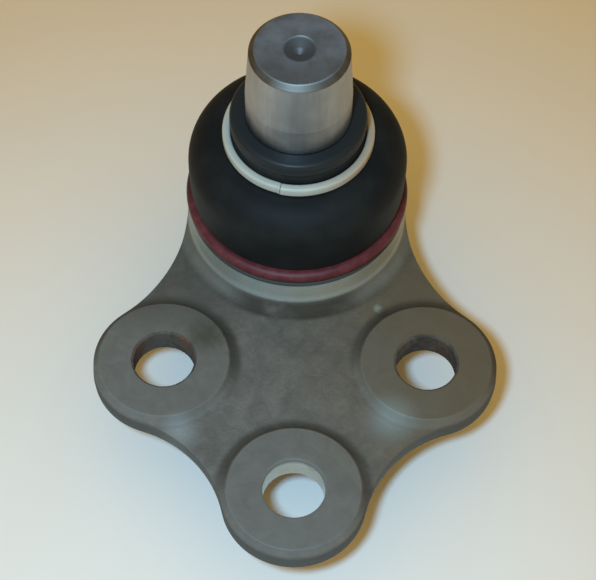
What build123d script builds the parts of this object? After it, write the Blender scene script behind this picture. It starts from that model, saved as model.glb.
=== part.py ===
from build123d import *

# Three-bolt suspension ball joint with a plain 18 mm pinch-bolt pin.
#
# Frame: the origin is midway between the two side bolt holes, on the machined
# faces of the bolt pads. +Z points along the pin, +Y from the third bolt hole
# to the pin's axis. All sizes are in millimetres.

import os
from math import degrees, sqrt

# ---- flange: a forged plate with three round ears ----
SIDE_HOLE_X = 22.6  # side bolt holes, each side of the middle
THIRD_HOLE_Y = -24.5  # third bolt hole, on the middle line
PIN_AXIS_Y = 31.5  # axis of the socket and the pin
HOLE_R = 5.25  # clearance for M10 bolts
HOLE_CHAMFER = 0.4
PAD_R = 11.2  # machined face of a bolt pad
PAD_H = 1.1  # the pads stand proud of the web
PAD_FOOT_R = 1.6  # hollow that runs from a pad into the web
EAR_R = 12.3
FLANGE_T = 5.2  # pad face to underside
DRAFT = 4.0  # degrees, each way from the parting line
EDGE_R = 0.8  # edges of the forging
FRONT_HOLLOW_R = 21.0  # flank between a side ear and the third ear
SIDE_HOLLOW_R = 28.8  # flank between a side ear and the socket

# ---- socket: the turned cup that holds the ball ----
BALL_Z = 1.0  # height of the ball's centre
BALL_R = 13.5
BALL_PLAY = 0.05  # running clearance of the ball in its seats
SEAT_T = 2.0
SEAT_PLAY = 0.05  # slip fit of the seats in the cup
SOCKET_TOP_R = 19.1  # turned wall, under the boot
SOCKET_R = 19.4  # turned wall, at the flange
SOCKET_FOOT_R = 2.6  # hollow that runs from the wall into the web
SKIRT_R = 18.2  # wall below the flange
CRIMP_GROOVE_R = 17.5
RIM_R = 17.6
RIM_Z = 10.4
BOOT_GROOVE_R = 17.0
BOOT_GROOVE_Z = 4.9
MOUTH_FLARE = 1.0
COVER_R = 16.4
COVER_T = 1.6
COVER_Z = -16.0  # underside of the cover's rim
COVER_DISH = 0.6
CRIMP_T = 0.9  # lip rolled over the cover
CRIMP_REACH = 2.4
SPRING_T = 0.7
SPRING_H = 1.1
SPRING_R = 15.0
SPRING_HOLE_R = 8.5
SEAT_MOUTH_H = 7.2  # mouth of the upper seat, above the ball's centre
SEAT_TOP_H = 8.7
SEAT_SPLIT_GAP = 0.3  # half the gap between the seats at the ball's equator
SEAT_SLOTS = 6
SEAT_SLOT_W = 1.2
SEAT_SLOT_H = 4.2
GREASE_GROOVE_R = 0.8
GREASE_POCKET_R = 5.0

# ---- ball stud ----
NECK_R = 6.6
NECK_Z = 15.0  # narrowest place
SHOULDER_Z = 18.4  # the journal starts here
JOURNAL_R = 8.8  # ground band that the boot's collar runs on
CLAMP_Z = 29.0  # start of the stretch that the knuckle clamps
CLAMP_R = 9.0
TAPER_Z = 34.6  # start of the lead taper
PIN_TOP_Z = 45.4
PIN_END_R = 8.4  # end of the lead taper
PIN_CHAMFER = 0.95
PIN_CORNER_R = 0.3  # both edges of the chamfer are broken
CENTRE_MARK_R = 2.8  # dimple left by the drill that centred the blank
CENTRE_MARK_DEPTH = 1.55
BALL_FLAT_H = 12.4  # flat under the ball, below its centre

# ---- dust boot and its two rings ----
BOOT_T = 1.5
BOOT_R = 19.0
BOOT_SIDE_Z = 16.2  # the side starts to curve in here
BOOT_CURVE_R = 6.1
BOOT_LIP_R = 18.9
BOOT_LIP_Z = 5.0
COLLAR_SEAT_R = 11.6  # under the upper ring
COLLAR_NECK_R = 11.2
COLLAR_R = 11.7  # bead at the top of the collar
COLLAR_BEAD_H = 2.6
COLLAR_Z = 28.9
RUBBER_GAP = 0.1  # the rubber is drawn just clear of the metal
LOWER_RING_R = 19.2
LOWER_RING_T = 1.2
LOWER_RING_Z = 5.5
LOWER_RING_H = 4.0
UPPER_RING_R = 13.05
UPPER_RING_T = 1.4
UPPER_RING_Z = 22.5
UPPER_RING_H = 1.9
UPPER_RING_SPLIT = 0.8  # gap between the ring's ends
UPPER_RING_TURN = -103.5  # degrees from +X to that gap

# ---- sizes that follow ----
WEB_Z = -PAD_H
UNDERSIDE_Z = -FLANGE_T
PARTING_Z = (WEB_Z + UNDERSIDE_Z) / 2
BASE_Z = COVER_Z - CRIMP_T
COVER_TOP_Z = COVER_Z + COVER_T
SEAT_BASE_Z = COVER_TOP_Z + SPRING_H
SEAT_INNER_R = BALL_R + BALL_PLAY
SEAT_R = SEAT_INNER_R + SEAT_T
CUP_R = SEAT_R + SEAT_PLAY
HOLE_CENTRES = [(SIDE_HOLE_X, 0), (-SIDE_HOLE_X, 0), (0, THIRD_HOLE_Y)]
PIN_AXIS = Pos(0, PIN_AXIS_Y, 0)
BALL_CENTRE = Pos(0, PIN_AXIS_Y, BALL_Z)


def turned(corners):
    """Turn a closed outline about Z. Each corner is (radius, height, rounding)."""
    points = [(r, z) for r, z, _ in corners]
    outline = FilletPolyline(*points, radius=[rounding for *_, rounding in corners], close=True)
    return revolve(make_face(Plane.XZ * outline), Axis.Z)


def swept_round(edges):
    """Turn a closed outline made of edges in the plane of radius and height."""
    return revolve(make_face(Plane.XZ * (Curve() + edges)), Axis.Z)


def ear_arc(centre, radius, start, end):
    """Arc of a round ear from start to end, on the side away from the plate."""
    outward = ((start - centre) + (end - centre)).normalized()
    return ThreePointArc(start, centre + outward * radius, end)


def hollow_arc(centre_a, radius_a, centre_b, radius_b, radius):
    """Hollow flank that leaves one round ear and meets the next, tangent to both."""
    span = centre_b - centre_a
    reach_a, reach_b = radius_a + radius, radius_b + radius
    along = (reach_a**2 - reach_b**2 + span.length**2) / (2 * span.length)
    across = sqrt(reach_a**2 - along**2)
    direction = span.normalized()
    centre = centre_a + direction * along + direction.rotate(Axis.Z, -90) * across
    start = centre_a + (centre_a - centre).normalized() * -radius_a
    end = centre_b + (centre_b - centre).normalized() * -radius_b
    middle = centre + ((start + end) / 2 - centre).normalized() * radius
    return ThreePointArc(start, middle, end)


def flange_plan():
    """Plan of the forging: three round ears and the socket, joined by hollow flanks."""
    third, side, socket = Vector(0, THIRD_HOLE_Y), Vector(SIDE_HOLE_X, 0), Vector(0, PIN_AXIS_Y)
    socket_r = SOCKET_R + 0.4
    front = hollow_arc(third, EAR_R, side, EAR_R, FRONT_HOLLOW_R)
    flank = hollow_arc(side, EAR_R, socket, socket_r, SIDE_HOLLOW_R)
    nose, tail = third - Vector(0, EAR_R), socket + Vector(0, socket_r)
    third_arc = RadiusArc(nose, front @ 0, -EAR_R)
    side_arc = ear_arc(side, EAR_R, front @ 1, flank @ 0)
    socket_arc = RadiusArc(flank @ 1, tail, -socket_r)
    half = [third_arc, front, side_arc, flank, socket_arc]
    return make_face(Curve() + half + [mirror(edge, Plane.YZ) for edge in half])


def drafted(plan, to_z):
    """Forging envelope from the parting line to a height, with its draft."""
    return extrude(Pos(0, 0, PARTING_Z) * plan, to_z - PARTING_Z, dir=(0, 0, 1), taper=DRAFT)


def bolt_pad():
    """Raised pad: machined face, sloped flank and a hollow foot on the web."""
    slope_r = PAD_R + PAD_H
    foot = PAD_FOOT_R
    return turned(
        [
            (0, 0, 0),
            (PAD_R, 0, 0.15),
            (slope_r - 0.1, WEB_Z + 0.1, foot),
            (slope_r + foot, WEB_Z, 0),
            (slope_r + foot, WEB_Z - 0.5, 0),
            (0, WEB_Z - 0.5, 0),
        ]
    )


def socket_foot():
    """Hollow foot that carries the socket's wall into the web."""
    foot = SOCKET_FOOT_R
    return turned(
        [
            (SOCKET_R - 2, WEB_Z + 2 * foot, 0),
            (SOCKET_R - 0.15, WEB_Z + 2 * foot, 0),
            (SOCKET_R, WEB_Z, foot),
            (SOCKET_R + 2 * foot, WEB_Z, 0),
            (SOCKET_R + 2 * foot, WEB_Z - 0.5, 0),
            (SOCKET_R - 2, WEB_Z - 0.5, 0),
        ]
    )


def flange():
    """Forged plate with its pads, inside the envelope that the draft leaves."""
    plan = flange_plan()
    slab_span = 4 * (abs(THIRD_HOLE_Y) + PIN_AXIS_Y)
    slab = Pos(0, 0, PARTING_Z) * Box(
        slab_span, slab_span, WEB_Z - PARTING_Z, align=(Align.CENTER, Align.CENTER, Align.MIN)
    )
    reliefs = [Pos(x, y) * bolt_pad() for x, y in HOLE_CENTRES] + [PIN_AXIS * socket_foot()]
    upper = drafted(plan, WEB_Z + 3 * SOCKET_FOOT_R) & (slab + reliefs)
    lower = extrude(Pos(0, 0, PARTING_Z) * plan, PARTING_Z - UNDERSIDE_Z, dir=(0, 0, -1), taper=DRAFT)
    lower = fillet(lower.edges().group_by(Axis.Z)[0], EDGE_R)
    return upper + lower


def bolt_hole():
    """Clearance hole with a chamfer at both faces."""
    over = 0.5
    flare = HOLE_R + HOLE_CHAMFER + over
    return turned(
        [
            (0, over, 0),
            (flare, over, 0),
            (HOLE_R, -HOLE_CHAMFER, 0),
            (HOLE_R, UNDERSIDE_Z + HOLE_CHAMFER, 0),
            (flare, UNDERSIDE_Z - over, 0),
            (0, UNDERSIDE_Z - over, 0),
        ]
    )


def cup_outside():
    """Turned rim, boot groove and wall, then the skirt and the crimped lip."""
    return turned(
        [
            (0, RIM_Z, 0),
            (RIM_R, RIM_Z, 0.4),
            (RIM_R, RIM_Z - 1.0, 0.2),
            (BOOT_GROOVE_R, RIM_Z - 1.6, 0.2),
            (BOOT_GROOVE_R, BOOT_GROOVE_Z, 0.3),
            (SOCKET_TOP_R, BOOT_GROOVE_Z, 0.3),
            (SOCKET_R, WEB_Z, 0),
            (SOCKET_R, UNDERSIDE_Z - 0.6, 1.2),
            (SKIRT_R, UNDERSIDE_Z - 1.6, 1.2),
            (SKIRT_R - 0.2, COVER_TOP_Z + 1.4, 0.3),
            (CRIMP_GROOVE_R, COVER_TOP_Z + 0.8, 0.3),
            (CRIMP_GROOVE_R, COVER_Z + 0.2, 0.3),
            (SKIRT_R - 0.3, COVER_Z - 0.2, 0.2),
            (SKIRT_R - 0.6, BASE_Z, 0.5),
            (0, BASE_Z, 0),
        ]
    )


def cup_inside():
    """Bore for the seats, round shoulder over the ball, flared mouth, cover step."""
    over = 1.0
    bore = turned(
        [
            (0, BALL_Z, 0),
            (CUP_R, BALL_Z, 0),
            (CUP_R, COVER_TOP_Z, 0),
            (COVER_R + SEAT_PLAY, COVER_TOP_Z, 0),
            (COVER_R + SEAT_PLAY, COVER_Z, 0),
            (COVER_R - CRIMP_REACH, COVER_Z, 0),
            (COVER_R - CRIMP_REACH - 0.3, BASE_Z - over, 0),
            (0, BASE_Z - over, 0),
        ]
    )
    mouth_r = sqrt(CUP_R**2 - (RIM_Z - BALL_Z) ** 2)
    flare = turned(
        [
            (0, RIM_Z - MOUTH_FLARE, 0),
            (mouth_r, RIM_Z - MOUTH_FLARE, 0),
            (mouth_r + MOUTH_FLARE + over, RIM_Z + over, 0),
            (0, RIM_Z + over, 0),
        ]
    )
    return PIN_AXIS * (bore + flare) + BALL_CENTRE * Sphere(CUP_R)


def housing():
    """Forged flange and turned socket, one piece of steel."""
    body = flange() + PIN_AXIS * cup_outside()
    body -= cup_inside()
    body -= [Pos(x, y) * bolt_hole() for x, y in HOLE_CENTRES]
    return body


def closing_cover():
    """Pressed steel disc that closes the cup, dished for stiffness."""
    step_r = COVER_R - CRIMP_REACH - 1.6
    slope = 1.2
    return PIN_AXIS * turned(
        [
            (0, COVER_TOP_Z - COVER_DISH, 0),
            (step_r - slope, COVER_TOP_Z - COVER_DISH, 0),
            (step_r, COVER_TOP_Z, 0),
            (COVER_R, COVER_TOP_Z, 0),
            (COVER_R, COVER_Z, 0),
            (step_r, COVER_Z, 0.8),
            (step_r - slope, COVER_Z - COVER_DISH, 0.8),
            (0, COVER_Z - COVER_DISH, 0),
        ]
    )


def preload_spring():
    """Coned spring disc that presses the lower seat against the ball."""
    rise = SPRING_H - SPRING_T
    return PIN_AXIS * turned(
        [
            (SPRING_HOLE_R, COVER_TOP_Z + rise, 0),
            (SPRING_R, COVER_TOP_Z, 0),
            (SPRING_R, COVER_TOP_Z + SPRING_T, 0),
            (SPRING_HOLE_R, SEAT_BASE_Z, 0),
        ]
    )


def grease_grooves():
    """Two round-bottomed grooves that cross over the ball's pole, a quarter turn apart."""
    ring = Torus(SEAT_INNER_R, GREASE_GROOVE_R)
    return [Rot(90, 0, turn) * ring for turn in (45, 135)]


def lower_bearing_seat():
    """Plastic cup under the ball, with grease grooves and a pocket at its foot."""
    top_z = -SEAT_SPLIT_GAP
    foot_z = SEAT_BASE_Z - BALL_Z
    shell = turned(
        [
            (0, top_z, 0),
            (SEAT_R, top_z, 0),
            (SEAT_R, foot_z, 1.0),
            (0, foot_z, 0),
        ]
    )
    shell -= Sphere(SEAT_INNER_R)
    shell -= Cylinder(GREASE_POCKET_R, 4 * BALL_R)
    shell -= grease_grooves()
    return BALL_CENTRE * shell


def upper_bearing_seat():
    """Plastic shell over the ball, slotted so that it snaps on, flared at its mouth."""
    band_h = SEAT_TOP_H - SEAT_SPLIT_GAP
    band = Pos(0, 0, SEAT_SPLIT_GAP + band_h / 2) * Cylinder(SEAT_R, band_h)
    shell = (Sphere(SEAT_R) & band) - Sphere(SEAT_INNER_R)
    mouth_r = sqrt(SEAT_INNER_R**2 - SEAT_MOUTH_H**2)
    flare = 1.2
    shell -= turned(
        [
            (0, SEAT_MOUTH_H, 0),
            (mouth_r, SEAT_MOUTH_H, 0),
            (mouth_r + flare, SEAT_TOP_H + 0.1, 0),
            (0, SEAT_TOP_H + 0.1, 0),
        ]
    )
    slot = Pos(SEAT_R, 0, 0) * Box(4 * SEAT_T, SEAT_SLOT_W, 2 * SEAT_SLOT_H)
    shell -= [Rot(0, 0, 360 / SEAT_SLOTS * n) * slot for n in range(SEAT_SLOTS)]
    return BALL_CENTRE * shell


def ball_stud():
    """Forged and ground stud: ball, waisted neck, journal, clamped pin, lead and chamfer."""
    neck_start_r = NECK_R + 0.7
    neck_start = (neck_start_r, BALL_Z + sqrt(BALL_R**2 - neck_start_r**2))
    flat = (sqrt(BALL_R**2 - BALL_FLAT_H**2), BALL_Z - BALL_FLAT_H)
    outline = [
        Line((0, flat[1]), flat),
        ThreePointArc(flat, (BALL_R, BALL_Z), neck_start),
        ThreePointArc(neck_start, (NECK_R, NECK_Z), (JOURNAL_R, SHOULDER_Z)),
        FilletPolyline(
            (JOURNAL_R, SHOULDER_Z),
            (JOURNAL_R, CLAMP_Z),
            (CLAMP_R, CLAMP_Z),
            (CLAMP_R, TAPER_Z),
            (PIN_END_R, PIN_TOP_Z - PIN_CHAMFER),
            (PIN_END_R - PIN_CHAMFER, PIN_TOP_Z),
            (CENTRE_MARK_R, PIN_TOP_Z),
            (0, PIN_TOP_Z - CENTRE_MARK_DEPTH),
            (0, flat[1]),
            radius=[0, 0, 0, PIN_CORNER_R, PIN_CORNER_R, 0, 0],
        ),
    ]
    return PIN_AXIS * swept_round(outline)


def dust_boot():
    """Bulged rubber boot: beaded foot, curved side, and a high collar on the journal."""
    curve_centre = Vector(BOOT_R - BOOT_CURVE_R, BOOT_SIDE_Z)
    outer_curve = CenterArc(curve_centre, BOOT_CURVE_R, 0, 90)
    inner_curve = CenterArc(curve_centre, BOOT_CURVE_R - BOOT_T, 0, 90)
    bore_r = JOURNAL_R + RUBBER_GAP
    foot_r = BOOT_GROOVE_R + RUBBER_GAP
    over_rim_r = RIM_R + RUBBER_GAP
    ring_seat_r = LOWER_RING_R - LOWER_RING_T - RUBBER_GAP / 2
    ring_top_z = LOWER_RING_Z + LOWER_RING_H + RUBBER_GAP
    top, inner_top = outer_curve @ 1, inner_curve @ 1
    outside = Polyline(
        (foot_r, BOOT_LIP_Z),
        (BOOT_LIP_R, BOOT_LIP_Z),
        (BOOT_LIP_R, LOWER_RING_Z - RUBBER_GAP),
        (ring_seat_r, LOWER_RING_Z - RUBBER_GAP),
        (ring_seat_r, ring_top_z),
        (BOOT_R, ring_top_z),
        outer_curve @ 0,
    )
    collar = Polyline(
        top,
        (COLLAR_SEAT_R, UPPER_RING_Z - RUBBER_GAP),
        (COLLAR_SEAT_R, UPPER_RING_Z + UPPER_RING_H + RUBBER_GAP),
        (COLLAR_NECK_R, UPPER_RING_Z + UPPER_RING_H + 0.5),
        (COLLAR_R, COLLAR_Z - COLLAR_BEAD_H),
        (COLLAR_R, COLLAR_Z - 0.8),
        (COLLAR_R - 0.8, COLLAR_Z),
        (bore_r, COLLAR_Z),
        (bore_r, inner_top.Y),
        inner_top,
    )
    inside = Polyline(
        inner_curve @ 0,
        (over_rim_r, RIM_Z + RUBBER_GAP),
        (over_rim_r, RIM_Z - 1.0),
        (foot_r, RIM_Z - 1.6),
        (foot_r, BOOT_LIP_Z),
    )
    return PIN_AXIS * swept_round([outside, outer_curve, collar, inner_curve, inside])


def lower_boot_ring():
    """Closed retaining ring around the boot's foot."""
    inner_r = LOWER_RING_R - LOWER_RING_T
    top_z = LOWER_RING_Z + LOWER_RING_H
    return PIN_AXIS * turned(
        [
            (inner_r, LOWER_RING_Z, 0),
            (LOWER_RING_R, LOWER_RING_Z, 0.45),
            (LOWER_RING_R, top_z, 0.45),
            (inner_r, top_z, 0),
        ]
    )


def upper_boot_ring():
    """Split spring ring around the foot of the boot's collar."""
    inner_r = UPPER_RING_R - UPPER_RING_T
    top_z = UPPER_RING_Z + UPPER_RING_H
    section = Plane.XZ * FilletPolyline(
        (inner_r, UPPER_RING_Z),
        (UPPER_RING_R, UPPER_RING_Z),
        (UPPER_RING_R, top_z),
        (inner_r, top_z),
        radius=[0, 0.5, 0.5, 0],
        close=True,
    )
    gap_angle = degrees(UPPER_RING_SPLIT / (UPPER_RING_R - UPPER_RING_T / 2))
    ring = revolve(make_face(section), Axis.Z, 360 - gap_angle)
    return PIN_AXIS * (Rot(0, 0, UPPER_RING_TURN + gap_angle / 2) * ring)


PARTS = {
    "housing": (housing, "dimgray"),
    "closing_cover": (closing_cover, "silver"),
    "preload_spring": (preload_spring, "steelblue"),
    "lower_bearing_seat": (lower_bearing_seat, "ivory"),
    "upper_bearing_seat": (upper_bearing_seat, "ivory"),
    "ball_stud": (ball_stud, "lightgray"),
    "dust_boot": (dust_boot, "black"),
    "lower_boot_ring": (lower_boot_ring, "firebrick"),
    "upper_boot_ring": (upper_boot_ring, "white"),
}

os.makedirs("parts", exist_ok=True)
for name, (make, colour) in PARTS.items():
    piece = make()
    piece.label = name
    piece.color = Color(colour)
    export_step(piece, f"parts/{name}.step")
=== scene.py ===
from math import atan2, cos, pi, radians, sin

import bpy
from mathutils import Matrix, Vector


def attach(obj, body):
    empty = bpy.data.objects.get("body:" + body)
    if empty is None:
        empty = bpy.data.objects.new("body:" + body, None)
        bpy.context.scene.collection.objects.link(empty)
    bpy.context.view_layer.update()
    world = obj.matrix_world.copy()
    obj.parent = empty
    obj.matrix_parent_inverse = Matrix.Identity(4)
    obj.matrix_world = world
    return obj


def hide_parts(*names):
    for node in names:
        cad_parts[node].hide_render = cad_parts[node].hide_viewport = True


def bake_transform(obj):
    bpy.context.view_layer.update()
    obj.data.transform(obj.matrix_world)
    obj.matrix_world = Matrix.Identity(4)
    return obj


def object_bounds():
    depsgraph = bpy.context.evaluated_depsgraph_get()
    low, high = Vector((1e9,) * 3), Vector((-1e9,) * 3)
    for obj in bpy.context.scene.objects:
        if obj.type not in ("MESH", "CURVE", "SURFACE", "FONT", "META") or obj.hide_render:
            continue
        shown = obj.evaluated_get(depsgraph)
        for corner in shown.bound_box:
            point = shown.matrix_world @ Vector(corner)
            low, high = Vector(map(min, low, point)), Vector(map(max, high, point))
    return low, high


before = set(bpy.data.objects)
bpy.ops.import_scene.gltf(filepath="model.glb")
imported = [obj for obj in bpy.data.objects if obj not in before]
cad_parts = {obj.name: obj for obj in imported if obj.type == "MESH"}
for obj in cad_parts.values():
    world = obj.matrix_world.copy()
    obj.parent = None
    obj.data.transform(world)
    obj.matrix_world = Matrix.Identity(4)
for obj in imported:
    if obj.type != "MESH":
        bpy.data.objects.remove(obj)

cad_box = [list(corner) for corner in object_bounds()]
bpy.ops.object.select_all(action="DESELECT")

# ---- Camera ----
# It stands in front of the third ear and looks steeply down on the flange, with the
# pin pointing up at it. A short telephoto, so that the ears keep their shape.

mm = 0.001
azimuth, elevation, roll = radians(-0.606), radians(57.167), radians(1.251)
looks_at = Vector((0.38, 14.44, 0)) * mm
back = Vector((sin(azimuth) * cos(elevation), -cos(azimuth) * cos(elevation), sin(elevation)))
right = (-back).cross(Vector((0, 0, 1))).normalized()
up = right.cross(-back)
across = right * cos(roll) + up * sin(roll)
upward = up * cos(roll) - right * sin(roll)
camera_distance = 346.6 * mm
camera = bpy.data.objects.new("camera", bpy.data.cameras.new("camera"))
camera.data.lens = 118.94
camera.data.sensor_width = 36
camera.data.clip_start = 20 * mm
camera.matrix_world = Matrix.Translation(looks_at + back * camera_distance) @ Matrix(
    (across, upward, back)
).transposed().to_4x4()
bpy.context.collection.objects.link(camera)
bpy.context.scene.camera = camera

# ---- Housing ----
# Forging in steel: a flat flange with three ears, and a socket turned on its back end.
# The pads round the bolt holes are faced off, and all of it has a dull phosphate coat.

pin_y = 31.5 * mm
side_hole_x = 22.6 * mm
third_hole_y = -24.5 * mm
hole_mouth_r = 5.65 * mm
pad_r = 11.25 * mm
pad_slope_r = 11.8 * mm
pad_foot_r = 12.3 * mm
wall_r = 19.8 * mm
wall_foot_r = 21.2 * mm


class Field:
    """A value that changes over a surface: a shader socket that arithmetic works on."""

    def __init__(self, finish, socket):
        self.finish = finish
        self.socket = socket

    def maths(self, operation, *values, clamp=False):
        settings = {"operation": operation, "use_clamp": clamp}
        return self.finish.node("ShaderNodeMath", settings, dict(enumerate(values)))

    def __add__(self, other):
        return self.maths("ADD", self, other)

    def __sub__(self, other):
        return self.maths("SUBTRACT", self, other)

    def __rsub__(self, other):
        return self.maths("SUBTRACT", other, self)

    def __mul__(self, other):
        return self.maths("MULTIPLY", self, other)

    def __pow__(self, other):
        return self.maths("POWER", self, other)

    def __abs__(self):
        return self.maths("ABSOLUTE", self)

    __radd__ = __add__
    __rmul__ = __mul__


class Finish:
    """A material with one Principled shader. Constants go on the shader's own sockets."""

    def __init__(self, name, **constants):
        self.material = bpy.data.materials.new(name)
        self.material.use_nodes = True
        self.tree = self.material.node_tree
        self.tree.nodes.clear()
        self.shader = self.tree.nodes.new("ShaderNodeBsdfPrincipled")
        output = self.tree.nodes.new("ShaderNodeOutputMaterial")
        self.tree.links.new(self.shader.outputs[0], output.inputs["Surface"])
        for socket, value in constants.items():
            self.shader.inputs[socket.replace("_", " ")].default_value = value
        self.place = self.node("ShaderNodeTexCoord", {}, {}, "Object")
        self.x, self.y, self.z = (
            self.node("ShaderNodeSeparateXYZ", {}, {"Vector": self.place}, axis) for axis in "XYZ"
        )

    def node(self, kind, settings, sockets, out=0):
        made = self.tree.nodes.new(kind)
        for name, value in settings.items():
            if name == "stops":
                ramp = made.color_ramp
                while len(ramp.elements) < len(value):
                    ramp.elements.new(0.5)
                for element, (position, colour) in zip(ramp.elements, value):
                    element.position, element.color = position, (*colour, 1)
            else:
                setattr(made, name, value)
        for name, value in sockets.items():
            if isinstance(value, Field):
                self.tree.links.new(value.socket, made.inputs[name])
            else:
                made.inputs[name].default_value = value
        return Field(self, made.outputs[out])

    def feed(self, **fields):
        for socket, field in fields.items():
            self.tree.links.new(field.socket, self.shader.inputs[socket.replace("_", " ")])

    def noise(self, size, detail=4, roughness=0.55, stretch=(1, 1, 1), distortion=0):
        """Cloudy pattern from 0 to 1 whose lumps are about size millimetres wide."""
        place = self.node("ShaderNodeVectorMath", {"operation": "MULTIPLY"}, {0: self.place, 1: stretch})
        sockets = {
            "Vector": place,
            "Scale": 1000 / size,
            "Detail": detail,
            "Roughness": roughness,
            "Distortion": distortion,
        }
        return self.node("ShaderNodeTexNoise", {}, sockets, "Fac")

    def step(self, field, start, end):
        """0 where field is at start, 1 where it is at end, smooth between them."""
        settings = {"interpolation_type": "SMOOTHSTEP"}
        return self.node("ShaderNodeMapRange", settings, {0: field, 1: start, 2: end, 3: 0.0, 4: 1.0})

    def near(self, field, middle, outer, inner):
        """1 where field is within inner of middle, 0 where it is further off than outer."""
        return self.step(abs(field - middle), outer, inner)

    def cuts(self, field, pitch):
        """Waves from -1 to 1 across field, a pitch apart, as a turning tool leaves them."""
        angle = field * (2 * pi / pitch)
        return angle.maths("SINE", angle)

    def ramp(self, field, *stops):
        """Colour read off a scale, whose stops are pairs of a value and a colour."""
        return self.node("ShaderNodeValToRGB", {"stops": stops}, {"Fac": field})

    def from_axis(self, x, y):
        """Distance from an upright axis, in metres."""
        return ((self.x - x) ** 2 + (self.y - y) ** 2) ** 0.5

    def mix(self, mask, colour, over):
        """Colour over where mask is 1, and colour where it is 0."""
        as_colour = [c if isinstance(c, Field) else (*c, 1) for c in (colour, over)]
        return self.node(
            "ShaderNodeMix", {"data_type": "RGBA"}, {0: mask, 6: as_colour[0], 7: as_colour[1]}, 2
        )

    def bump(self, height, depth, normal=None):
        """Relief of depth millimetres, on top of another if one is given."""
        sockets = {"Height": height, "Strength": 1.0, "Distance": depth * mm}
        if normal:
            sockets["Normal"] = normal
        return self.node("ShaderNodeBump", {}, sockets)


forged = Finish("phosphated_forging")
at_pad_top = forged.step(forged.z, -0.3 * mm, -0.1 * mm)
on_pad, slope, pad_foot_grime_and_shade, in_hole, pad_cuts = 0, 0, 0, 0, 0
for x, y in ((side_hole_x, 0), (-side_hole_x, 0), (0, third_hole_y)):
    from_hole = forged.from_axis(x, y)
    far_side = forged.step(forged.y - y + (forged.x - x) * 0.2, -6 * mm, 3 * mm)
    within_pad = forged.step(from_hole, pad_r + 0.1 * mm, pad_r - 0.1 * mm)
    on_pad = within_pad * at_pad_top + on_pad
    pad_cuts = forged.cuts(from_hole, 0.42 * mm) * within_pad + pad_cuts
    slope = forged.near(from_hole, pad_slope_r, 0.9 * mm, 0.3 * mm) * (1 - far_side) + slope
    # Each pad's foot gets a dark ring: a little dirt all round, and painted shade on the side away from
    # the lamp.
    grime_and_shade_share = 0.1 + 0.9 * far_side
    pad_foot_grime_and_shade = forged.near(from_hole, pad_foot_r, 1.6 * mm, 0.3 * mm) * grime_and_shade_share + pad_foot_grime_and_shade
    in_hole = forged.step(from_hole, hole_mouth_r + 0.1 * mm, hole_mouth_r - 0.1 * mm) + in_hole
from_pin = forged.from_axis(0, pin_y)
beside = forged.step(abs(forged.x), 7 * mm, 13 * mm)
turned = forged.step(from_pin, wall_r + 0.2 * mm, wall_r - 0.2 * mm)
turned = turned * forged.step(forged.z, -0.2 * mm, 0.6 * mm)
hollow = forged.step(from_pin, 22.6 * mm, 20.4 * mm) * forged.step(forged.z, -1.6 * mm, -1.2 * mm)
foot = forged.near(from_pin, wall_foot_r, 2.0 * mm, 0.9 * mm) * (1 - 0.75 * beside)
foot = foot * forged.step(forged.z, 1.6 * mm, 0.6 * mm)
flank = forged.step(forged.z, -1.2 * mm, -2.0 * mm) * forged.step(from_pin, 18.3 * mm, 18.8 * mm)
rim = forged.step(from_pin, 18.4 * mm, 18.6 * mm) * forged.step(forged.z, 3.9 * mm, 4.5 * mm)
toward_third_hole = forged.step(forged.y, -12 * mm, -16 * mm)
bright = toward_third_hole * forged.step(forged.z, -0.3 * mm, -1.6 * mm)

# The coat is mottled grey, and turns brown towards the right: partly an old oily film, partly painted warm
# light on the side away from the cool lamp.
coat = ((0.3, (0.092, 0.09, 0.082)), (0.5, (0.157, 0.152, 0.14)), (0.72, (0.235, 0.23, 0.214)))
faced_dark, faced_light = (0.145, 0.147, 0.138), (0.21, 0.213, 0.2)
oil_and_warm_light_film = (0.155, 0.115, 0.055)
pad_slope_highlight = (0.27, 0.3, 0.3)
clouds = forged.noise(14, detail=5, roughness=0.62)
mottle = forged.noise(3.2, detail=6, roughness=0.68, distortion=0.6)
grain = forged.noise(0.55, detail=3, roughness=0.6)
tone = forged.ramp(mottle * 0.5 + clouds * 0.35 + grain * 0.15, *coat)
oiled_and_warm_lit = forged.step(forged.x + forged.y * 0.35 + (clouds - 0.5) * 30 * mm, -10 * mm, 30 * mm)
tone = forged.mix(on_pad * 0.8, tone, forged.mix(mottle, faced_dark, faced_light))
tone = forged.mix(oiled_and_warm_lit * 0.68, tone, oil_and_warm_light_film)
# Painted highlight: the pads' slopes on the side facing the lamp are lightened.
tone = forged.mix(slope * 0.2, tone, pad_slope_highlight)

# Pale and dark spots on the web, by place and radius in millimetres. The first two are painted highlights
# where the side ears' front flanks catch the lamp; the others are a small pale spot and a dark patch.
for x, y, radius, colour in (
    (-19.5, -13.7, 4.5, (0.3, 0.35, 0.36)),
    (16.3, -10.8, 6.0, (0.27, 0.33, 0.33)),
    (-15.3, 4.8, 5.5, (0.07, 0.063, 0.035)),
    (14.3, 11.6, 1.1, (0.33, 0.37, 0.3)),
):
    ragged = forged.from_axis(x * mm, y * mm) + (mottle - 0.5) * 3 * mm
    tone = forged.mix(forged.step(ragged, radius * mm, 0) * 0.75, tone, colour)

# Grime packs round the pads' feet, with painted shade added on their side away from the lamp, and the web
# darkens behind the left pad.
pad_grime_and_shade, web_stain = (0.035, 0.03, 0.02), (0.085, 0.08, 0.066)
tone = forged.mix(pad_foot_grime_and_shade * (0.6 + 0.8 * (clouds - 0.45)) * (1 - on_pad), tone, pad_grime_and_shade)
behind_left = forged.step(forged.x, -7 * mm, -14 * mm) * forged.step(forged.y, 4 * mm, 12 * mm)
tone = forged.mix(behind_left * 0.5, tone, web_stain)
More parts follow.
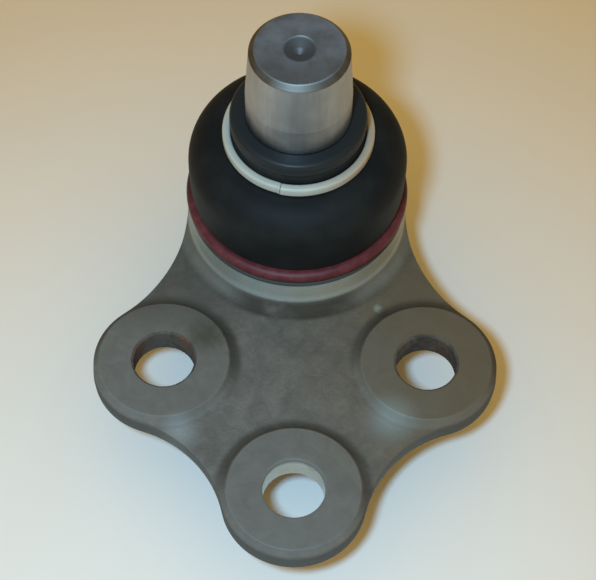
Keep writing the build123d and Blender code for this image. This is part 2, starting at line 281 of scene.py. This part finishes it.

# The socket's turned wall is paler, painted bluer to the left and warmer to the right as light from the
# cool lamp, with dirt and painted shade at its foot, a painted shadow along its rim under the red ring,
# and a dark flank.
wall_cool_lit_side, wall_warm_lit_side, wall_worn = (0.36, 0.48, 0.5), (0.5, 0.52, 0.45), (0.6, 0.66, 0.63)
hollow_tone, foot_grime_and_shade = (0.27, 0.28, 0.25), (0.045, 0.037, 0.026)
rim_shadow_tone, flank_tone = (0.04, 0.036, 0.032), (0.06, 0.074, 0.078)
# Painted light: the wall's left is bluer and its right warmer.
wall_tone = forged.mix(forged.step(forged.x, -14 * mm, 12 * mm), wall_cool_lit_side, wall_warm_lit_side)
wall_tone = forged.mix(mottle * 0.5, wall_tone, wall_worn)
tone = forged.mix(hollow * beside * 0.4, tone, hollow_tone)
tone = forged.mix(turned * (0.85 - 0.3 * beside), tone, wall_tone)
# Dirt and painted shade in the corner at the wall's foot.
tone = forged.mix(foot * forged.step(clouds, 0.3, 0.5) * 0.85, tone, foot_grime_and_shade)
# Painted shadow along the wall's rim, under the red ring.
tone = forged.mix(rim * 0.9, tone, rim_shadow_tone)
tone = forged.mix(flank * 0.7, tone, flank_tone)

# The side holes are dark and rusty inside. The third one is bare steel below its chamfer, painted bright
# and bluish as a glow of light off the lit table.
hole_dark, hole_light = (0.05, 0.045, 0.04), (0.12, 0.11, 0.1)
hole_lip, bare_steel_and_table_glow, rust_tone = (0.2, 0.21, 0.2), (0.8, 0.88, 0.87), (0.17, 0.07, 0.035)
hole_tone = forged.mix(forged.step(mottle, 0.4, 0.6), hole_dark, hole_light)
hole_tone = forged.mix(toward_third_hole, hole_tone, hole_lip)
# Painted light: the third hole's bare steel is made bright and bluish.
hole_tone = forged.mix(bright, hole_tone, bare_steel_and_table_glow)
tone = forged.mix(in_hole * 0.85, tone, hole_tone)
rust = in_hole * forged.step(forged.noise(4.5, detail=4), 0.5, 0.66) * (1 - 0.7 * toward_third_hole)
tone = forged.mix(rust * 0.55, tone, rust_tone)

relief = forged.bump((mottle * 0.6 + grain * 0.4) * (1 - 0.75 * on_pad) * (1 - 0.8 * turned), 0.16)
relief = forged.bump(pad_cuts * at_pad_top * 0.5, 0.006, relief)
relief = forged.bump(forged.cuts(forged.z, 0.5 * mm) * turned * 0.5, 0.014, relief)
dullness = 0.62 - 0.1 * (on_pad + turned) + 0.2 * (foot + pad_foot_grime_and_shade + slope) + 0.25 * (rim + in_hole)
dullness = dullness + (mottle - 0.5) * 0.25 - 0.4 * bright * in_hole
forged.feed(Base_Color=tone, Roughness=dullness, Metallic=0.35 + 0.6 * bright * in_hole, Normal=relief)
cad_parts["housing"].material_slots[0].material = forged.material

# ---- Ball stud ----
# Turned and ground steel: the plain pin with its lead taper and chamfer, and below the
# boot the neck and the ball. The centre drill in its end is from the lathe.

chamfer_z = 44.4 * mm
end_z = 45.26 * mm
mark_r = 2.6 * mm
ground = Finish("ground_steel", Metallic=1.0)
on_end = ground.step(ground.z, end_z - 0.06 * mm, end_z + 0.06 * mm)
on_chamfer = ground.step(ground.z, chamfer_z - 0.1 * mm, chamfer_z + 0.1 * mm) - on_end
in_mark = ground.step(ground.from_axis(0, pin_y), mark_r + 0.3 * mm, mark_r - 0.3 * mm)
in_mark = in_mark * ground.step(ground.z, 40 * mm, 41 * mm)
smear = ground.noise(5, detail=5, roughness=0.6)
streaks = ground.noise(0.9, detail=3, stretch=(1, 1, 0.12))
grind = ground.noise(0.35, detail=2, stretch=(0.02, 0.02, 1))
steel = ground.ramp(
    smear * 0.65 + streaks * 0.35, (0.3, (0.34, 0.35, 0.36)), (0.7, (0.5, 0.51, 0.51))
)
end_dark, end_bright, end_front_shade = (0.38, 0.37, 0.36), (0.6, 0.62, 0.65), (0.31, 0.28, 0.25)
end_tone = ground.mix(ground.step(smear, 0.3, 0.7), end_dark, end_bright)
# Painted shade: the end face is darker towards its front edge.
end_tone = ground.mix(ground.step(ground.y - pin_y, 0, -5 * mm) * 0.6, end_tone, end_front_shade)
steel = ground.mix(on_end, steel, end_tone)
# The chamfer is duller and darker, tinted brown on its sides as a painted reflection of the warm room.
chamfer_tone_and_reflection, brown_side_reflection, mark_tone = (0.27, 0.22, 0.17), (0.2, 0.13, 0.06), (0.24, 0.22, 0.21)
chamfer_side_reflection = ground.step(ground.noise(4, detail=3), 0.3, 0.6) * ground.step(abs(ground.x), 3 * mm, 6 * mm)
steel = ground.mix(on_chamfer * 0.8, steel, chamfer_tone_and_reflection)
steel = ground.mix(on_chamfer * chamfer_side_reflection * 0.8, steel, brown_side_reflection)
steel = ground.mix(in_mark * 0.6, steel, mark_tone)
ground.feed(
    Base_Color=steel,
    Roughness=0.34 + 0.14 * smear + 0.14 * on_end + 0.16 * on_chamfer + 0.2 * in_mark,
    Normal=ground.bump(grind, 0.008),
)
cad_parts["ball_stud"].material_slots[0].material = ground.material

# ---- Dust boot ----
# Moulded black rubber, bulged so that it can follow the pin, with a high collar that grips the journal.

rubber = Finish("boot_rubber", Metallic=0.0, Specular_IOR_Level=0.22, Coat_Roughness=0.4)
bloom = rubber.noise(7, detail=5, roughness=0.6)
pores = rubber.noise(0.4, detail=3)
deep_black, bloomed, collar_sheen_tone = (0.0075, 0.0095, 0.0105), (0.0135, 0.0165, 0.0175), (0.015, 0.02, 0.022)
black = rubber.mix(rubber.step(bloom, 0.35, 0.7), deep_black, bloomed)
# Painted sheen: the collar is lighter and bluer than the rest of the boot.
on_collar = rubber.step(rubber.z, 24.6 * mm, 25.4 * mm)
rubber.feed(
    Base_Color=rubber.mix(on_collar, black, collar_sheen_tone),
    Coat_Weight=on_collar * 0.4,
    Roughness=0.56 + 0.15 * bloom,
    Normal=rubber.bump(pores * 0.35 + bloom * 0.65, 0.05),
)


def turn(name, section, around=128):
    """Turn a closed section, pairs of radius and height in millimetres, about the pin's axis."""
    bpy.ops.object.select_all(action="DESELECT")
    (radius, height), *steps = section
    bpy.ops.mesh.primitive_circle_add(
        vertices=around, radius=radius * mm, location=(0, pin_y, height * mm)
    )
    piece = bpy.context.active_object
    piece.name = piece.data.name = name
    bpy.ops.object.transform_apply()
    bpy.ops.object.mode_set(mode="EDIT")
    bpy.ops.mesh.select_all(action="SELECT")
    for next_radius, next_height in steps:
        rise = (0, 0, (next_height - height) * mm)
        bpy.ops.mesh.extrude_edges_move(TRANSFORM_OT_translate={"value": rise})
        growth = next_radius / radius
        bpy.ops.transform.resize(
            value=(growth, growth, 1), center_override=(0, pin_y, next_height * mm)
        )
        radius, height = next_radius, next_height
    bpy.ops.object.mode_set(mode="OBJECT")
    vertices = piece.data.vertices
    for index, vertex in enumerate(vertices):
        vertex.select = index < around or index >= len(vertices) - around
    bpy.ops.object.mode_set(mode="EDIT")
    bpy.ops.mesh.bridge_edge_loops()
    bpy.ops.mesh.select_all(action="SELECT")
    bpy.ops.mesh.normals_make_consistent(inside=False)
    bpy.ops.object.mode_set(mode="OBJECT")
    bpy.ops.object.shade_smooth_by_angle(angle=radians(35))
    return piece


def dome(centre_r, centre_z, radius, start, end, count):
    """Points of an arc in the section, from one angle to another above the horizon."""
    angles = [radians(start + (end - start) * n / count) for n in range(count + 1)]
    return [(centre_r + radius * cos(a), centre_z + radius * sin(a)) for a in angles]


# Both halves end in the same flat cut at the waist, with a second loop close to it.
# The foot has a bead in the socket's groove, a slot for the ring and a lip above it.
waist_z = 15.8
waist_loop = 0.04
bulge_r, inside_r = 19.0, 17.5
boot_foot = turn(
    "boot_foot",
    [
        (17.1, 5.05), (18.7, 5.0), *dome(18.7, 5.2, 0.2, -80, 80, 6), (18.0, 5.42), (17.95, 5.6),
        (17.95, 9.5), (18.19, 9.5), (18.21, 8.3), (18.3, 8.22), (18.42, 8.3), (18.6, 9.0),
        (18.8, 10.2), (18.95, 12.0), (bulge_r, 14.0), (bulge_r, waist_z - waist_loop),
        (bulge_r, waist_z), (inside_r, waist_z), (inside_r, 11.0), (17.7, 10.5), (17.7, 9.4),
        (17.1, 8.8),
    ],
)

# The dome rises to a groove for the pale ring, and the collar above it rolls over to
# the journal. Its bore widens below, so that the tilted pin has room.
bore_r = 8.9
shoulder_r, shoulder_z = 12.9, 16.2
boot_dome = turn(
    "boot_dome",
    [
        (bulge_r, waist_z), (bulge_r, waist_z + waist_loop),
        *dome(shoulder_r, shoulder_z, bulge_r - shoulder_r, 0, 82, 30), (13.5, 22.32),
        (13.1, 22.36), (12.4, 22.3), (11.7, 22.3), (11.55, 22.45), (11.55, 24.3), (11.45, 24.6),
        (11.25, 24.9), (11.2, 25.2), (11.25, 25.7), (11.5, 26.2), (11.66, 26.6), (11.7, 27.0),
        *dome(10.8, 28.0, 0.9, 5, 90, 12), (9.4, 28.9), *dome(9.2, 28.6, 0.3, 85, 170, 5),
        (bore_r, 28.2), (bore_r, 22.9), (9.3, 22.0), (10.2, 21.1), (11.4, 20.82),
        *dome(shoulder_r, shoulder_z, inside_r - shoulder_r, 90, 0, 20), (inside_r, waist_z),
    ],
)
for half in (boot_foot, boot_dome):
    half.data.materials.append(rubber.material)
    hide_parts("dust_boot")
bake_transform(boot_foot)
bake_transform(boot_dome)

# ---- Lower boot ring ----
# Closed red elastic ring of round section that holds the boot's foot in the socket's
# groove. A thin rib on top of it stands in a slot of the boot.

rib_inner_r, rib_outer_r, rib_top = 18.02, 18.17, 9.4
lower_ring = turn(
    "lower_boot_ring_band",
    [
        (rib_inner_r, 5.6), *dome(18.5, 6.7, 1.14, -95, 100, 26), (rib_outer_r, 8.2),
        (rib_outer_r, rib_top), (rib_inner_r, rib_top),
    ],
)
red = Finish("red_ring", Metallic=0.0, Specular_IOR_Level=0.4)
red_dark, red_light = (0.1, 0.018, 0.024), (0.15, 0.032, 0.04)
red_shaded_under, red_shaded_back = (0.05, 0.014, 0.018), (0.03, 0.012, 0.012)
worn = red.noise(2.5, detail=5, roughness=0.65)
# Painted shade: the ring is darker underneath and on its back half.
underneath = red.step(red.z, 6.6 * mm, 5.9 * mm)
at_back = red.step(red.y - pin_y, -5 * mm, 0)
ring_tone = red.mix(red.step(worn, 0.35, 0.7), red_dark, red_light)
ring_tone = red.mix(underneath * 0.7, ring_tone, red_shaded_under)
ring_tone = red.mix(at_back * 0.75, ring_tone, red_shaded_back)
red.feed(Base_Color=ring_tone, Roughness=0.42 + 0.2 * worn, Normal=red.bump(worn, 0.04))
lower_ring.data.materials.append(red.material)
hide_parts("lower_boot_ring")
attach(lower_ring, "housing")

# ---- Upper boot ring ----
# Pale moulded ring that grips the foot of the boot's collar. It is split so that it
# springs over the collar, and its two ends sit a little out of line.

ring_r, ring_z = 12.35 * mm, 23.45 * mm
ring_width, ring_height = 1.4 * mm, 1.9 * mm
edge_r = 0.45 * mm
split = 0.1 * mm / ring_r
split_turn = radians(-103.5)
end_rise, end_spread = 0.35 * mm, 0.02
bpy.ops.object.select_all(action="DESELECT")
bpy.ops.mesh.primitive_plane_add(size=1, location=(0, 0, 0))
upper_ring = bpy.context.active_object
upper_ring.name = upper_ring.data.name = "upper_boot_ring_band"
bpy.ops.object.mode_set(mode="EDIT")
bpy.ops.mesh.select_all(action="SELECT")
bpy.ops.transform.rotate(value=pi / 2, orient_axis="X", center_override=(0, 0, 0))
bpy.ops.transform.resize(value=(ring_width, 1, ring_height), center_override=(0, 0, 0))
bpy.ops.transform.translate(value=(ring_r, 0, ring_z))
bpy.ops.mesh.bevel(offset=edge_r, segments=5, affect="VERTICES")
bpy.ops.mesh.spin(steps=150, angle=2 * pi - split, center=(0, 0, 0), axis=(0, 0, 1))
bpy.ops.mesh.select_all(action="SELECT")
bpy.ops.mesh.normals_make_consistent(inside=False)
bpy.ops.object.mode_set(mode="OBJECT")
for vertex in upper_ring.data.vertices:
    along = (atan2(vertex.co.y, vertex.co.x) % (2 * pi)) / (2 * pi) - 0.5
    vertex.co *= 1 - end_spread * along
    vertex.co.z += end_rise * along
upper_ring.data.transform(
    Matrix.Translation((0, pin_y, 0)) @ Matrix.Rotation(split_turn + split / 2, 4, "Z")
)
pale = Finish("pale_ring", Metallic=0.0)
dust = pale.noise(3, detail=5)
pale_dusty, pale_clean, pale_warm_shade = (0.42, 0.49, 0.49), (0.54, 0.63, 0.62), (0.42, 0.34, 0.25)
# Painted light: the ring's right side is darker and warmer, away from the cool lamp.
warm_shaded_side = pale.step(pale.x, 0, 13 * mm)
pale_tone = pale.mix(dust, pale_dusty, pale_clean)
pale_tone = pale.mix(warm_shaded_side * 0.7, pale_tone, pale_warm_shade)
pale.feed(Base_Color=pale_tone, Roughness=0.4 + 0.15 * dust, Normal=pale.bump(dust, 0.03))
upper_ring.data.materials.append(pale.material)
bpy.context.view_layer.objects.active = upper_ring
upper_ring.select_set(True)
bpy.ops.object.shade_smooth_by_angle(angle=radians(35))
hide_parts("upper_boot_ring")
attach(upper_ring, "collar")

# ---- Inner parts ----
# Pressed steel cover, coned spring and two moulded plastic seats that hold the ball. The
# crimped lip of the socket closes them in.

pressed = Finish("pressed_steel", Metallic=1.0)
stain = pressed.noise(4, detail=5)
pressed.feed(
    Base_Color=pressed.mix(stain, (0.2, 0.195, 0.18), (0.34, 0.33, 0.31)),
    Roughness=0.35 + 0.25 * stain,
    Normal=pressed.bump(pressed.noise(0.5), 0.01),
)
for name in ("closing_cover", "preload_spring"):
    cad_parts[name].material_slots[0].material = pressed.material
acetal = Finish("acetal", Metallic=0.0)
flow = acetal.noise(5)
acetal.feed(Base_Color=acetal.mix(flow, (0.72, 0.7, 0.62), (0.8, 0.78, 0.71)), Roughness=0.4 + 0.1 * flow)
for name in ("lower_bearing_seat", "upper_bearing_seat"):
    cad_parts[name].material_slots[0].material = acetal.material

# ---- Floor and light ----
# A plain pale table that the socket stands on, a small cool lamp just left of the
# camera, and a warm room all round. Steel mirrors the room as plain dim grey.

floor_z = cad_box[0][2] - 0.03 * mm
bpy.ops.object.select_all(action="DESELECT")
bpy.ops.mesh.primitive_plane_add(size=4, location=(0, 0, floor_z))
table = bpy.context.active_object
table.name = "table"
table_top = Finish("table_top", Roughness=0.7, Specular_IOR_Level=0.2)
drift = table_top.noise(60, detail=2)
table_top.feed(Base_Color=table_top.mix(drift, (0.78, 0.78, 0.76), (0.82, 0.82, 0.8)))
table.data.materials.append(table_top.material)

lamp_place = looks_at + back * 290 * mm - (across * 32 - upward * 8) * mm
lamp_target = looks_at - (across * 20 + upward * 70) * mm
lamp = bpy.data.objects.new("lamp", bpy.data.lights.new("lamp", "SPOT"))
lamp.data.energy = 3.2
lamp.data.color = (0.37, 0.66, 0.91)
lamp.data.shadow_soft_size = 16 * mm
lamp.data.spot_size = radians(68)
lamp.data.spot_blend = 1.0
aim = (lamp_target - lamp_place).to_track_quat("-Z", "Y")
lamp.matrix_world = Matrix.Translation(lamp_place) @ aim.to_matrix().to_4x4()
bpy.context.collection.objects.link(lamp)

room = bpy.data.worlds.new("room")
bpy.context.scene.world = room
room.use_nodes = True
nodes, links = room.node_tree.nodes, room.node_tree.links
warm_walls, dim_grey, pale_ground = (0.57, 0.365, 0.11, 1), (0.16, 0.16, 0.15, 1), (0.72, 0.68, 0.6, 1)
seen = nodes["Background"]
seen.inputs["Color"].default_value = warm_walls
rays = nodes.new("ShaderNodeLightPath")
for kind, colour in (("Is Glossy Ray", dim_grey), ("Is Camera Ray", pale_ground)):
    light = nodes.new("ShaderNodeBackground")
    light.inputs["Color"].default_value = colour
    choose = nodes.new("ShaderNodeMixShader")
    links.new(rays.outputs[kind], choose.inputs["Fac"])
    links.new(seen.outputs[0], choose.inputs[1])
    links.new(light.outputs[0], choose.inputs[2])
    seen = choose
links.new(seen.outputs[0], nodes["World Output"].inputs["Surface"])
bpy.context.scene.view_settings.view_transform = "Standard"
